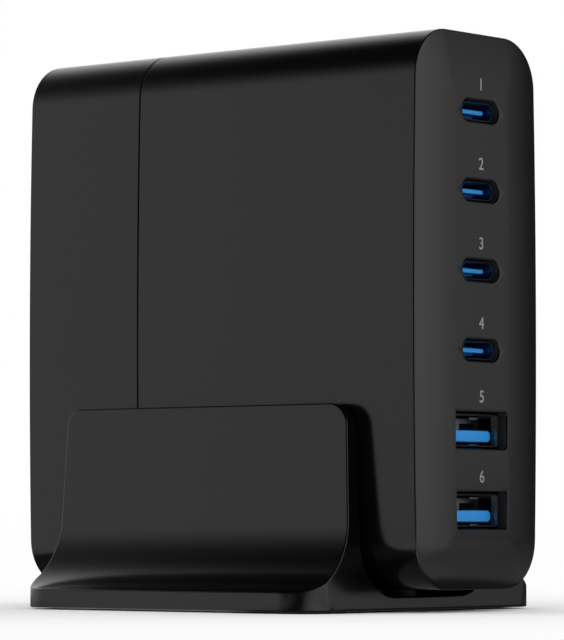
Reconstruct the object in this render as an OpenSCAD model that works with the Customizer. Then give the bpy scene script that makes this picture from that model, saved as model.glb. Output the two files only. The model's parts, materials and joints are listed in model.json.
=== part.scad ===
// Desktop charger that stands on edge in a cradle, sockets in a column on its narrow front.
// Millimetres, +Z up, the sockets face -Y. The origin lies on the ground under the middle.

/* [Body] */
// Width of the body at half its height
body_w = 34.7; // [34.2:0.1:42]
// Height of the body
body_h = 94.9; // [94:0.1:110]
// Depth of the body over both crowned ends
body_d = 90.7; // [89:0.1:110]
// Radius of the four long edges
corner_r = 8.5; // [7.5:0.1:9.5]
// How far each side swells out at half height
side_bow = 0.5; // [0.3:0.1:0.9]
// How far the middle of each end stands proud of its rim
crown = 1.1; // [0.7:0.1:1.3]
// Width of the crowned band inside each rim
crown_run = 11; // [9.5:0.1:12]
// Wall of the housing
wall = 2; // [1.7:0.1:2.3]
// Thickness of the two end walls
end_wall = 2.1; // [2:0.1:2.6]
// Visible depth of the rear cover
rear_depth = 27.6; // [24:0.1:30]
// Width of the seam between shell and cover
seam_w = 0.25; // [0.15:0.05:0.4]
// How far the lip of the cover reaches into the shell
lip_len = 4; // [3:0.1:5]
// Thickness of the lip
lip_t = 1.2; // [1:0.1:1.5]

/* [Sockets] */
// Distance between neighbouring sockets
port_pitch = 13.6; // [12.8:0.1:14]
// Space beside a type C shell in its cut-out
c_side_gap = 0.8; // [0.4:0.1:1]
// Space beside a type A shell in its cut-out
a_side_gap = 0.85; // [0.4:0.05:1]
// Space above and below a shell in its cut-out
mouth_gap = 0.4; // [0.2:0.1:0.6]
// How far the mouth of a type C shell lies behind the front
c_mouth_set = 0.8; // [0.4:0.1:1.6]
// How far the mouth of a type A shell lies behind the front
a_mouth_set = 1.5; // [0.6:0.1:1.8]
// Corner radius of a type A cut-out
a_open_r = 0.7; // [0.4:0.1:1.2]
// Outer width of a type C shell
c_shell_w = 8.9; // [8.7:0.1:9.2]
// Outer height of a type C shell
c_shell_h = 3.3; // [3.1:0.1:3.5]
// Outer width of a type A shell
a_shell_w = 13.1; // [12.9:0.1:13.4]
// Outer height of a type A shell
a_shell_h = 5.7; // [5.5:0.1:6]
// Sheet of the metal shells
sheet_t = 0.3; // [0.2:0.05:0.4]
// Room for the sockets between end wall and port board
socket_len = 14; // [13:0.1:15]
// Width of a type C tongue
c_tongue_w = 6.7; // [6.2:0.1:7]
// Thickness of a type C tongue
c_tongue_t = 0.75; // [0.6:0.05:0.9]
// Width of a type A tongue
a_tongue_w = 11.1; // [10.5:0.1:11.5]
// Thickness of a type A tongue
a_tongue_t = 2; // [1.8:0.1:2]
// How far a type A tongue lies below the middle of its socket
a_tongue_drop = 1; // [0.7:0.1:1]

/* [Boards] */
// Thickness of the circuit boards
board_t = 1.6; // [1.2:0.1:2]
// Space between the wall and the solder side of the main board
solder_gap = 3.2; // [2.8:0.1:3.4]
// Space around the outline of a board
board_gap = 0.5; // [0.3:0.1:0.8]
// Space between the rear wall and the main board
board_back = 4; // [3:0.1:5]
// Grip of the rails on the edges of the main board
rail_grip = 2; // [1.5:0.1:2.5]

/* [Mains inlet] */
// Height of the inlet's middle over the underside of the body
inlet_up = 24; // [18:0.1:25]
// Height of the inlet
inlet_h = 20; // [19:0.1:22]
// Width of the inlet
inlet_w = 11.5; // [10.5:0.1:12]
// Depth of the inlet
inlet_len = 16; // [15:0.1:17]
// Distance between the two pins
pin_pitch = 8.6; // [8.2:0.1:9]
// Diameter of a pin
pin_d = 2.4; // [2:0.1:2.6]
// Length of a pin behind the inlet
pin_tail = 2; // [1.5:0.1:2.5]
// Width of the flange round the inlet
inlet_flange = 2; // [1.5:0.1:2.5]

/* [Power parts] */
// Space between neighbouring parts on the main board
part_gap = 1; // [0.6:0.1:1.4]
// Thickness of the bridge rectifier
rectifier_t = 3.5; // [3:0.1:4]
// Thickness of the varistor's disc
varistor_t = 3.5; // [3:0.1:4]
// Thickness of the power switch
switch_t = 4.5; // [4:0.1:5]
// Wire of the line choke
choke_wire = 1.2; // [0.8:0.1:1.4]
// Wall of the transformer's core
trafo_wall = 4; // [3:0.1:4.5]
// Thickness of the heat spreader
spreader_t = 1; // [0.8:0.1:1.2]
// Thickness of the thermal pad
thermal_t = 1.4; // [1:0.1:1.6]
// Thickness of the insulation film
film_t = 0.4; // [0.3:0.05:0.6]

/* [Cradle] */
// Width of the foot
foot_w = 65.4; // [60:0.1:69]
// Length of the foot
foot_l = 67; // [62:0.1:80]
// Height of the upright edge of the foot
foot_edge = 3.3; // [2.8:0.1:4.5]
// Radius of the foot's upright corners
foot_r = 6.8; // [5:0.1:9]
// How far the cradle stands in front of the body's middle
cradle_fore = 0.5; // [-2:0.1:2]
// Thickness of the channel floor
floor_t = 2.3; // [1.9:0.1:3]
// Height of the wings over the underside of the moulding
wing_h = 35; // [30:0.1:45]
// Thickness of a wing at its top
wing_t = 2.4; // [2:0.1:3]
// How much further out a wing stands where its flare starts
wing_lean = 0.75; // [0.4:0.05:1.2]
// How much shorter the wings are at the top, at each end
end_lean = 1.6; // [0.8:0.1:2.4]
// Radius of the wings' upper corners
wing_r = 4; // [2.5:0.1:7]
// Radius of the hollow flare from wing to foot
flare_r = 12.8; // [12:0.1:14]
// Inner radius at the foot of the channel
channel_r = 9; // [8:0.1:10]
// Space between a wing and the side of the body
side_gap = 0.85; // [0.7:0.05:1.2]
// Space between the channel floor and the body
body_lift = 1.2; // [0.9:0.1:2]
// Wall left where the cradle is cored from below
core_wall = 2; // [1.6:0.1:2.4]
// Thickness of the ribs between the cores
rib_t = 1.5; // [1.2:0.1:2]
// Radius of a foot pad
pad_r = 4.2; // [3.5:0.1:4.6]
// Depth of a foot pad's recess
pad_recess = 0.7; // [0.5:0.1:1]
// How far the foot pads stand out of the cradle
pad_proud = 0.3; // [0.2:0.1:0.6]

/* [Hidden] */

C_PORTS = 4;
A_PORTS = 2;
PORTS = C_PORTS + A_PORTS;
// Running clearance between pieces that slide together
fit = 0.1;
// Overlap that fuses two shapes of one piece, and the reach of a cut past a face
bite = 0.4;

// Heights of the body in its cradle
body_z0 = pad_proud + floor_t + body_lift;
body_zm = body_z0 + body_h / 2;

// Stations along the depth, from the front wall to the rear wall
front_y = -body_d / 2;
back_y = body_d / 2;
socket_y = front_y + end_wall;
c_mouth_y = front_y + c_mouth_set;
a_mouth_y = front_y + a_mouth_set;
port_board_y = socket_y + socket_len;
main_board_y0 = port_board_y + board_t;
seam_y = back_y - rear_depth;
rear_inner_y = back_y - end_wall;
main_board_y1 = rear_inner_y - board_back;

// Stations across the width
inner_x = body_w / 2 - wall;
board_x0 = -inner_x + solder_gap;
board_x1 = board_x0 + board_t;
spreader_x1 = inner_x - side_bow - thermal_t;
spreader_x0 = spreader_x1 - spreader_t;

// The section of the body: four corner circles and two wide arcs that run into them.
// The wide arcs are set in by a hair, so that they cross the circles and don't graze them.
corner_z = body_h / 2 - corner_r;
side_r = round(50 * (pow(corner_z, 2) + pow(side_bow, 2)) / side_bow) / 100;
hair = 0.01;
side_c = side_r - body_w / 2;
corner_x = sqrt(pow(side_r - corner_r, 2) - pow(corner_z, 2)) - side_c;

lip_in = wall + fit;
board_hh = body_h / 2 - lip_in - lip_t - 1.8;

// Stations of the cradle
cradle_y = -cradle_fore;
channel_z = pad_proud + floor_t;
channel_hw = body_w / 2 + side_gap;
wing_top = pad_proud + wing_h;
wing_hw = channel_hw + wing_t;
foot_top = pad_proud + foot_edge;
flare_x = wing_hw + wing_lean + flare_r;
flare_z = foot_top + sqrt(pow(flare_r, 2) - pow(flare_x - foot_w / 2, 2));

// Cut-outs that leave each shell its gap
c_open = [c_shell_w + 2 * c_side_gap, c_shell_h + 2 * mouth_gap];
a_open = [a_shell_w + 2 * a_side_gap, a_shell_h + 2 * mouth_gap];

// Height of the middle of a socket, counted from the top
function port_z(i) = body_zm + ((PORTS - 1) / 2 - i) * port_pitch;

BLACK = [0.09, 0.09, 0.095];
PAD_GREY = [0.16, 0.16, 0.17];
BLUE = [0.06, 0.32, 0.72];
STEEL = [0.72, 0.73, 0.75];
GOLD = [0.83, 0.66, 0.3];
BOARD_GREEN = [0.05, 0.3, 0.16];
COPPER = [0.72, 0.4, 0.2];
FERRITE = [0.2, 0.2, 0.21];

// Outline of the body in X and Z about its middle, set in by a distance
module body_section(inset = 0) {
    arc_r = max(corner_r - inset, 0.5);
    shift = max(inset - corner_r + 0.5, 0);
    join_z = corner_z * (side_r - inset) / (side_r - corner_r);
    square([2 * (corner_x - shift), body_h - 2 * inset], center = true);
    intersection() {
        square([body_w, 2 * join_z], center = true);
        translate([-side_c, 0]) circle(r = side_r - inset - hair, $fn = 1600);
        translate([side_c, 0]) circle(r = side_r - inset - hair, $fn = 1600);
    }
    for (sx = [-1, 1], sz = [-1, 1])
        translate([sx * (corner_x - shift), sz * (corner_z - shift)])
            circle(r = arc_r, $fn = 64);
}

// An outline in X and Z, drawn out along Y from y0 to y1
module along_y(y0, y1)
    translate([0, y1, 0]) rotate([90, 0, 0]) linear_extrude(y1 - y0) children();

// The body's section as a prism between two depths
module body_prism(y0, y1, inset = 0)
    translate([0, 0, body_zm]) along_y(y0, y1) body_section(inset);

// A ring of the body's section between two insets
module body_ring(y0, y1, outer_inset, inner_inset)
    difference() {
        body_prism(y0, y1, outer_inset);
        body_prism(y0 - bite, y1 + bite, inner_inset);
    }

// A block given by its lowest and highest corners
module block(low, high)
    translate(low) cube(high - low);

// Rectangle with true round corners
module round_rect(w, h, r) {
    square([w - 2 * r, h], center = true);
    square([w, h - 2 * r], center = true);
    for (sx = [-1, 1], sy = [-1, 1])
        translate([sx * (w / 2 - r), sy * (h / 2 - r)]) circle(r = r, $fn = 32);
}

// Crowned end: slices of the section that shrink while they rise, s is -1 in front and 1 behind
module crowned_end(s) {
    slices = 7;
    rim_set = 0.25;
    root = 1.2;
    hull() for (i = [0:slices]) {
        e = rim_set + (crown_run - rim_set) * i / slices;
        tip = body_d / 2 - crown * pow(1 - e / crown_run, 2);
        low = min(s * (tip - root), s * tip);
        body_prism(low, low + root, e);
    }
}

// Type C outline, a slot with fully round ends
module c_outline(w, h) round_rect(w, h, h / 2 - 0.01);

module port_cut(i) {
    translate([0, 0, port_z(i)]) along_y(front_y - 2, socket_y + bite) {
        if (i < C_PORTS) c_outline(c_open[0], c_open[1]);
        else round_rect(a_open[0], a_open[1], a_open_r);
    }
}

// Two grooved rails that hold the upper and lower edge of the main board
module board_rails() {
    cheek = 1.3;
    y0 = main_board_y0 + fit;
    y1 = seam_y - lip_len - 1;
    for (s = [-1, 1]) difference() {
        intersection() {
            body_prism(y0, y1, wall - bite);
            translate([(board_x0 + board_x1) / 2, (y0 + y1) / 2,
                       body_zm + s * (board_hh - rail_grip + body_h / 2)])
                cube([board_t + 2 * (fit + cheek), y1 - y0, body_h], center = true);
        }
        translate([(board_x0 + board_x1) / 2, (y0 + y1) / 2, body_zm])
            cube([board_t + 2 * fit, y1 - y0 + 2, 2 * (board_hh + fit)], center = true);
    }
}

// Shoulders on the side walls, in front of the port board
module board_stops() {
    stop_w = 3;
    stop_l = 3;
    stop_h = 10;
    for (sx = [-1, 1], sz = [-1, 1]) intersection() {
        body_prism(port_board_y - stop_l, port_board_y, wall - bite);
        translate([sx * (inner_x - side_bow - stop_w + body_w / 2), port_board_y,
                   body_zm + sz * 1.5 * port_pitch])
            cube([body_w, 4 * stop_l, stop_h], center = true);
    }
}

module main_shell()
    color(BLACK) {
        difference() {
            union() {
                body_prism(front_y + crown, seam_y - seam_w / 2);
                crowned_end(-1);
            }
            body_prism(socket_y, seam_y + 1, wall);
            for (i = [0:PORTS - 1]) port_cut(i);
        }
        board_rails();
        board_stops();
    }

// Opening for the inlet in the rear wall, and the outline of the inlet itself
module inlet_outline(grow = 0)
    round_rect(inlet_w + 2 * grow, inlet_h + 2 * grow, 1.5 + grow);

module rear_cover() {
    lip_root = 2.5;
    post_w = 1.2;
    post_h = 6;
    post_z = board_hh - rail_grip - post_h;
    color(BLACK) {
        difference() {
            union() {
                body_prism(seam_y + seam_w / 2, back_y - crown);
                crowned_end(1);
            }
            body_prism(seam_y - 1, rear_inner_y, wall);
            translate([0, 0, body_z0 + inlet_up])
                along_y(rear_inner_y - bite, back_y + 2) inlet_outline(fit);
        }
        body_ring(seam_y + seam_w / 2, seam_y + lip_root, wall - bite, lip_in + lip_t);
        body_ring(seam_y - lip_len, seam_y + lip_root, lip_in, lip_in + lip_t);
        for (s = [-1, 1])
            block([board_x0 - post_w, main_board_y1, body_zm + s * post_z - post_h / 2],
                  [board_x1 - bite, back_y - end_wall / 2, body_zm + s * post_z + post_h / 2]);
    }
}

module port_board()
    color(BOARD_GREEN)
        body_prism(port_board_y, port_board_y + board_t, wall + board_gap);

// The main board, with the slot that parts its mains side from its output side
module main_board() {
    slot_w = 2;
    slot_l = 0.8 * deck_l;
    color(BOARD_GREEN) difference() {
        intersection() {
            block([board_x0, main_board_y0, body_zm - board_hh],
                  [board_x1, main_board_y1, body_zm + board_hh]);
            body_prism(main_board_y0, main_board_y1, lip_in + lip_t + fit);
        }
        translate([(board_x0 + board_x1) / 2, trafo_y, trafo_z - trafo_w / 2 - slot_w])
            cube([board_t + 2, slot_l, slot_w], center = true);
    }
}

module usb_c_shell(i)
    color(STEEL) translate([0, 0, port_z(i - 1)]) along_y(c_mouth_y, port_board_y)
        difference() {
            c_outline(c_shell_w, c_shell_h);
            c_outline(c_shell_w - 2 * sheet_t, c_shell_h - 2 * sheet_t);
        }

// Tongue with its thicker root, on the block that fills the back of the shell
module usb_c_core(i) {
    tongue_set = 0.15;
    root_at = 3.6;
    block_at = 6;
    inner_w = c_shell_w - 2 * (sheet_t + 0.05);
    inner_h = c_shell_h - 2 * (sheet_t + 0.05);
    color(BLUE) translate([0, 0, port_z(i - 1)]) {
        along_y(c_mouth_y + tongue_set, c_mouth_y + block_at + bite)
            c_outline(c_tongue_w, c_tongue_t);
        along_y(c_mouth_y + root_at, c_mouth_y + block_at + bite)
            c_outline(c_tongue_w + 0.6, 2 * c_tongue_t);
        along_y(c_mouth_y + block_at, port_board_y) c_outline(inner_w, inner_h);
    }
}

// Folded box with two sprung leaves in its roof and two in its floor
module usb_a_shell(i) {
    leaf_w = 2.4;
    leaf_l = 7;
    leaf_x = a_shell_w / 4;
    floor_gap = a_shell_h / 2 - sheet_t - a_tongue_drop - a_tongue_t / 2;
    leaf_dip = [atan((floor_gap - 0.25) / leaf_l), 5];
    leaf_y = a_mouth_y + 2.5;
    color(STEEL) translate([0, 0, port_z(C_PORTS + i - 1)]) {
        difference() {
            along_y(a_mouth_y, port_board_y) difference() {
                round_rect(a_shell_w, a_shell_h, 0.6);
                round_rect(a_shell_w - 2 * sheet_t, a_shell_h - 2 * sheet_t, 0.3);
            }
            for (sx = [-1, 1])
                translate([sx * leaf_x, leaf_y + leaf_l / 2, 0])
                    cube([leaf_w + 0.8, leaf_l, a_shell_h + 2], center = true);
        }
        for (sx = [-1, 1], sz = [-1, 1])
            translate([sx * leaf_x, leaf_y + leaf_l + 0.2, sz * (a_shell_h - sheet_t) / 2])
                rotate([sz * leaf_dip[(sz + 1) / 2], 0, 0])
                    translate([0, -leaf_l / 2, 0]) cube([leaf_w, leaf_l, sheet_t], center = true);
    }
}

module usb_a_core(i) {
    tongue_set = 0.15;
    block_at = 9.8;
    play = sheet_t + 0.05;
    color(BLUE) translate([0, 0, port_z(C_PORTS + i - 1)]) {
        translate([0, 0, -a_tongue_drop])
            along_y(a_mouth_y + tongue_set, a_mouth_y + block_at + bite)
                round_rect(a_tongue_w, a_tongue_t, a_tongue_t / 2 - 0.01);
        along_y(a_mouth_y + block_at, port_board_y)
            round_rect(a_shell_w - 2 * play, a_shell_h - 2 * play, 0.25);
    }
}

// Four flat springs on the upper side of a type A tongue
module usb_a_contacts(i) {
    strip_w = 1;
    strip_t = 0.2;
    strip_pitch = 2.5;
    color(GOLD) for (k = [0:3])
        translate([(k - 1.5) * strip_pitch, a_mouth_y + 5.3,
                   port_z(C_PORTS + i - 1) - a_tongue_drop + (a_tongue_t + strip_t) / 2])
            cube([strip_w, 8, strip_t], center = true);
}

// Inlet with its oblong mouth, held behind the rear wall by a flange
module ac_inlet() {
    mouth_w = 7.9;
    mouth_h = 15;
    mouth_d = 10;
    flange_t = 1.5;
    color(BLACK) translate([0, 0, body_z0 + inlet_up]) difference() {
        union() {
            along_y(back_y - inlet_len, back_y) inlet_outline();
            along_y(rear_inner_y - flange_t, rear_inner_y) inlet_outline(inlet_flange);
        }
        along_y(back_y - mouth_d, back_y + bite) round_rect(mouth_w, mouth_h, mouth_w / 2 - 0.01);
        for (s = [-1, 1]) translate([0, back_y - inlet_len / 2, s * pin_pitch / 2])
            rotate([90, 0, 0]) cylinder(d = pin_d, h = inlet_len + 2, center = true, $fn = 32);
    }
}

// A pin runs through the inlet and turns down to the main board
module inlet_pin(i) {
    tip_set = 1.2;
    tail_y = back_y - inlet_len - pin_tail;
    z = body_z0 + inlet_up + (i == 1 ? 1 : -1) * pin_pitch / 2;
    color(GOLD) {
        translate([0, tail_y, z]) rotate([-90, 0, 0])
            cylinder(d = pin_d, h = inlet_len + pin_tail - tip_set, $fn = 32);
        block([board_x1, tail_y - pin_d / 2, z - pin_d / 2], [0, tail_y + pin_d / 2, z + pin_d / 2]);
    }
}

// Room on the main board: how high parts may stand, and how far up and down they may reach
room_x = spreader_x0 - board_x1 - part_gap;
low_z = body_zm - board_hh + rail_grip + part_gap;
high_z = body_zm + board_hh - rail_grip - part_gap;
// The inlet and its pins take the lower rear corner
inlet_y0 = back_y - inlet_len - pin_tail - pin_d / 2 - part_gap;
deck_z = body_z0 + inlet_up + inlet_h / 2 + inlet_flange + part_gap;

// In front, one output stage over the other, each a capacitor under an inductor
stage_pitch = (high_z - low_z + part_gap) / 4;
inductor_s = 0.53 * (stage_pitch - 2 * part_gap);
outcap_d = stage_pitch - 2 * part_gap - inductor_s;
stage_y = main_board_y0 + part_gap + inductor_s / 2;
power_y0 = stage_y + inductor_s / 2 + part_gap;
function stage_z(i) = high_z - (i - 1) * stage_pitch;

// Below the deck: two bulk capacitors, then the rectifier under the varistor
low_h = deck_z - part_gap - low_z;
behind_t = max(rectifier_t, varistor_t);
bulk_pitch = (inlet_y0 - power_y0 - behind_t) / 2;
bulk_d = min(room_x - fit, bulk_pitch - part_gap);
bulk_y = power_y0 + (bulk_pitch - part_gap) / 2;
behind_y = inlet_y0 - behind_t / 2;

// Over the deck: switch and transformer in front, then fuse, line choke and film capacitor
deck_l = (main_board_y1 - power_y0 - 2 * part_gap) / 2;
deck_h = high_z - deck_z;
trafo_w = 0.42 * deck_h;
trafo_h = room_x - part_gap;
trafo_y = power_y0 + deck_l / 2;
trafo_z = high_z - spreader_t - part_gap - trafo_w / 2;
rear_y = power_y0 + 1.5 * deck_l + part_gap;
fuse_d = 0.18 * deck_h;
choke_d = min(0.44 * deck_h, deck_l);
choke_z = deck_z + fuse_d + part_gap + choke_d / 2;
filmcap_h = high_z - choke_z - choke_d / 2 - part_gap;
spreader_y1 = min(seam_y - lip_len - part_gap, power_y0 + deck_l);

module fuse()
    color([0.1, 0.1, 0.1]) translate([board_x1, main_board_y1 - fuse_d, deck_z + fuse_d / 2])
        rotate([0, 90, 0]) cylinder(d = fuse_d, h = room_x / 3, $fn = 48);

// Disc on two leads
module varistor() {
    disc_d = 0.4 * low_h;
    lead_d = varistor_t / 4;
    color([0.1, 0.25, 0.6]) translate([board_x1, behind_y, deck_z - part_gap - disc_d / 2]) {
        translate([part_gap + disc_d / 2, 0, 0]) rotate([90, 0, 0])
            cylinder(d = disc_d, h = varistor_t, center = true, $fn = 48);
        for (s = [-1, 1]) translate([0, 0, s * disc_d / 4]) rotate([0, 90, 0])
            cylinder(d = lead_d, h = part_gap + disc_d / 2, $fn = 16);
    }
}

module bridge_rectifier()
    color([0.1, 0.1, 0.1])
        block([board_x1, behind_y - rectifier_t / 2, low_z],
              [board_x1 + 0.7 * room_x, behind_y + rectifier_t / 2, low_z + 0.6 * low_h - part_gap]);

// Wide and height of the ring that the choke is wound on, and its inner radius
choke_ring = [choke_d / 4 - choke_wire, room_x / 3];
choke_r0 = choke_d / 4;

// The choke's axis, standing on the board
module at_choke()
    translate([board_x1 + choke_wire, rear_y, choke_z]) rotate([0, 90, 0]) children();

module line_choke_core()
    color(FERRITE) at_choke() rotate_extrude($fn = 64)
        translate([choke_r0, 0]) square(choke_ring);

// Two windings, each over a good third of the ring, with the ring's own space left free
module line_choke_winding() {
    sweep = 130;
    color(COPPER) at_choke() for (turn = [25, 205]) rotate([0, 0, turn])
        rotate_extrude(angle = sweep, $fn = 64) difference() {
            translate([choke_r0 - choke_wire, -choke_wire])
                square(choke_ring + 2 * [choke_wire, choke_wire]);
            translate([choke_r0, 0]) square(choke_ring);
        }
}

module x_capacitor()
    color([0.75, 0.6, 0.15])
        block([board_x1, rear_y - deck_l / 3, high_z - filmcap_h],
              [board_x1 + 0.6 * room_x, rear_y + deck_l / 3, high_z]);

// Can that lies along the board, with the groove rolled near its foot
module bulk_capacitor(i) {
    bead = 0.04 * bulk_d;
    color([0.12, 0.14, 0.3])
        translate([board_x1 + bulk_d / 2 + fit, bulk_y + (i - 1) * bulk_pitch, low_z])
            difference() {
                cylinder(d = bulk_d, h = low_h, $fn = 64);
                translate([0, 0, 5 * bead]) rotate_extrude($fn = 64)
                    translate([bulk_d / 2, 0]) circle(r = bead, $fn = 24);
            }
}

window_h = trafo_h - 2 * trafo_wall;
window_d = deck_l - 5;
post_d = window_d / 2;

// Ferrite pot with a round middle post, open on its two long sides
module transformer_core()
    color(FERRITE) translate([board_x1, trafo_y, trafo_z]) rotate([0, 90, 0]) difference() {
        translate([-trafo_w / 2, -deck_l / 2, 0]) cube([trafo_w, deck_l, trafo_h]);
        translate([0, 0, trafo_wall]) difference() {
            union() {
                cylinder(d = window_d, h = window_h, $fn = 64);
                translate([-trafo_w / 2 - 1, -0.4 * window_d, 0])
                    cube([trafo_w + 2, 0.8 * window_d, window_h]);
            }
            translate([0, 0, -1]) cylinder(d = post_d, h = window_h + 2, $fn = 48);
        }
    }

module transformer_winding() {
    h = window_h - 2 * fit;
    cheek_t = 0.8;
    cheek_d = window_d - 2 * fit;
    color(COPPER) translate([board_x1 + trafo_wall + fit, trafo_y, trafo_z]) rotate([0, 90, 0])
        difference() {
            union() {
                cylinder(d = cheek_d - 2 * cheek_t, h = h, $fn = 64);
                for (z = [0, h - cheek_t]) translate([0, 0, z])
                    cylinder(d = cheek_d, h = cheek_t, $fn = 64);
            }
            translate([0, 0, -1]) cylinder(d = post_d + 2 * fit, h = h + 2, $fn = 48);
        }
}

// Switch in its flat package, with the tab that is bolted to a heat spreader
module power_switch() {
    w = 0.2 * deck_h;
    h = 0.65 * room_x;
    tab_t = 0.3 * switch_t;
    z0 = deck_z + spreader_t + part_gap;
    color([0.1, 0.1, 0.1]) {
        block([board_x1, trafo_y - switch_t / 2, z0], [board_x1 + h, trafo_y + switch_t / 2, z0 + w]);
        block([board_x1 + h - bite, trafo_y - switch_t / 2, z0],
              [board_x1 + 1.35 * h, trafo_y - switch_t / 2 + tab_t, z0 + w]);
    }
}

module output_capacitor(i)
    color([0.6, 0.62, 0.66])
        translate([board_x1, stage_y, stage_z(i) - inductor_s - part_gap - outcap_d / 2])
            rotate([0, 90, 0]) cylinder(d = outcap_d, h = room_x / 2, $fn = 48);

module output_inductor(i)
    color(FERRITE) translate([board_x1, stage_y, stage_z(i) - inductor_s / 2])
        rotate([0, 90, 0]) linear_extrude(room_x / 3)
            round_rect(inductor_s, inductor_s, inductor_s / 8);

// Aluminium plate over the tall parts, on two feet that stand on the board
module heat_spreader() {
    leg_w = 0.3 * deck_l;
    color(STEEL) {
        block([spreader_x0, power_y0, deck_z], [spreader_x1, spreader_y1, high_z]);
        for (z = [deck_z, high_z - spreader_t])
            block([board_x1, spreader_y1 - leg_w, z],
                  [spreader_x1 - spreader_t / 2, spreader_y1, z + spreader_t]);
    }
}

module thermal_pad()
    color([0.55, 0.6, 0.62])
        block([spreader_x1, power_y0 + part_gap, deck_z + part_gap],
              [spreader_x1 + thermal_t, spreader_y1 - part_gap, high_z - part_gap]);

// Film beside the solder side of the main board, on four small feet
module insulation_sheet() {
    foot_s = 2;
    film_x = board_x0 - 0.65 * solder_gap;
    rise = board_hh - rail_grip - 4 * part_gap;
    y0 = main_board_y0 + 2 * part_gap;
    y1 = seam_y - lip_len - 2 * part_gap;
    color([0.85, 0.82, 0.7]) {
        block([film_x - film_t, y0, body_zm - rise], [film_x, y1, body_zm + rise]);
        for (y = [y0 + foot_s, y1 - 2 * foot_s], s = [-1, 1])
            block([film_x - film_t / 2, y, body_zm + s * rise / 2 - foot_s / 2],
                  [board_x0, y + foot_s, body_zm + s * rise / 2 + foot_s / 2]);
    }
}

// A half outline with its mirror image, as one closed list of points
function both_sides(half) = concat(
    half, [for (k = [len(half) - 1:-1:0]) [-half[k][0], half[k][1]]]
);

// Outer outline of the cradle in X and Z, wider than the foot, whose plan trims it
module cradle_profile() {
    half = [
        [foot_w / 2 + 1, pad_proud], [foot_w / 2 + 1, flare_z],
        [wing_hw + wing_lean, flare_z], [wing_hw, wing_top]
    ];
    difference() {
        polygon(both_sides(half));
        for (s = [-1, 1]) translate([s * flare_x, flare_z]) circle(r = flare_r, $fn = 128);
    }
}

// Outline of the cradle in Y and Z: ends that lean in, upper corners rounded
module cradle_side() {
    lean = atan(end_lean / wing_h);
    arc_z = wing_top - wing_r;
    edge_y = foot_l / 2 + 2 * hair - end_lean * (arc_z - pad_proud) / wing_h;
    arc_y = edge_y - wing_r / cos(lean);
    half = [
        [edge_y + end_lean * (arc_z - pad_proud) / wing_h, pad_proud],
        [arc_y + wing_r * cos(lean), arc_z + wing_r * sin(lean)], [arc_y, wing_top]
    ];
    polygon(both_sides(half));
    for (s = [-1, 1]) translate([s * arc_y, arc_z]) circle(r = wing_r, $fn = 64);
}

// Plan of the foot, set in by a distance
module foot_plan(inset = 0)
    round_rect(foot_w - 2 * inset, foot_l - 2 * inset, foot_r - inset);

// Channel that takes the body, with round inner corners
module channel_profile() {
    for (s = [-1, 1]) translate([s * (channel_hw - channel_r), channel_z + channel_r])
        circle(r = channel_r, $fn = 96);
    translate([channel_r - channel_hw, channel_z]) square([2 * (channel_hw - channel_r), channel_r]);
    translate([-channel_hw, channel_z + channel_r]) square([2 * channel_hw, wing_h]);
}

// Section of one core under a flare, one wall away from flare, channel and edge
module core_profile() {
    x0 = channel_hw - channel_r + 3.5;
    difference() {
        translate([x0, pad_proud - 1]) square([foot_w / 2 - core_wall - x0, 9.5]);
        translate([channel_hw - channel_r, channel_z + channel_r])
            circle(r = channel_r + core_wall, $fn = 96);
        translate([flare_x, flare_z]) circle(r = flare_r + core_wall, $fn = 128);
    }
}

CORES = 5;

// Centre of foot pad k, one under each corner
function pad_place(k) = [
    (k < 2 ? -1 : 1) * (foot_w / 2 - core_wall - pad_r - 2),
    (k % 2 == 0 ? -1 : 1) * (foot_l / 2 - core_wall - pad_r - 3.5)
];

module cradle() {
    cell = (foot_l - 2 * core_wall + rib_t) / CORES;
    first = -foot_l / 2 + core_wall;
    boss_r = pad_r + 1.5;
    color(BLACK) translate([0, cradle_y, 0]) difference() {
        intersection() {
            along_y(-foot_l / 2, foot_l / 2) cradle_profile();
            translate([-foot_w / 2, 0, 0]) rotate([90, 0, 90]) linear_extrude(foot_w) cradle_side();
            linear_extrude(wing_top) foot_plan();
        }
        along_y(-foot_l / 2 - 1, foot_l / 2 + 1) channel_profile();
        difference() {
            intersection() {
                for (side = [0, 1], c = [0:CORES - 1]) mirror([side, 0, 0])
                    along_y(first + c * cell, first + (c + 1) * cell - rib_t) core_profile();
                translate([0, 0, -1]) linear_extrude(wing_h) foot_plan(core_wall);
            }
            for (k = [0:3]) translate(pad_place(k)) cylinder(r = boss_r, h = wing_h, $fn = 48);
        }
        for (k = [0:3]) translate([each pad_place(k), pad_proud - 1])
            cylinder(r = pad_r + fit, h = 1 + pad_recess, $fn = 48);
    }
}

module foot_pad(i)
    color(PAD_GREY) translate([pad_place(i - 1)[0], pad_place(i - 1)[1] + cradle_y, 0])
        cylinder(r = pad_r, h = pad_proud + pad_recess, $fn = 48);

// Strip on the channel floor that carries the body, set back from the ends
module seat_pad(i) {
    strip_w = 5;
    strip_x = 4.6;
    set_back = 7;
    color(PAD_GREY) translate([(i == 1 ? -1 : 1) * strip_x, cradle_y, channel_z])
        linear_extrude(body_lift) round_rect(strip_w, foot_l - 2 * set_back, strip_w / 2 - 0.01);
}

// Strip inside a wing that steadies the body
module side_pad(i) {
    strip_h = 12;
    strip_z = wing_top - wing_r - strip_h / 2 - 0.5;
    set_back = 9;
    s = i == 1 ? -1 : 1;
    color(PAD_GREY) translate([s * body_w / 2 - (i == 1 ? side_gap : 0), cradle_y, strip_z])
        rotate([90, 0, 90]) linear_extrude(side_gap) round_rect(foot_l - 2 * set_back, strip_h, 3);
}

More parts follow.
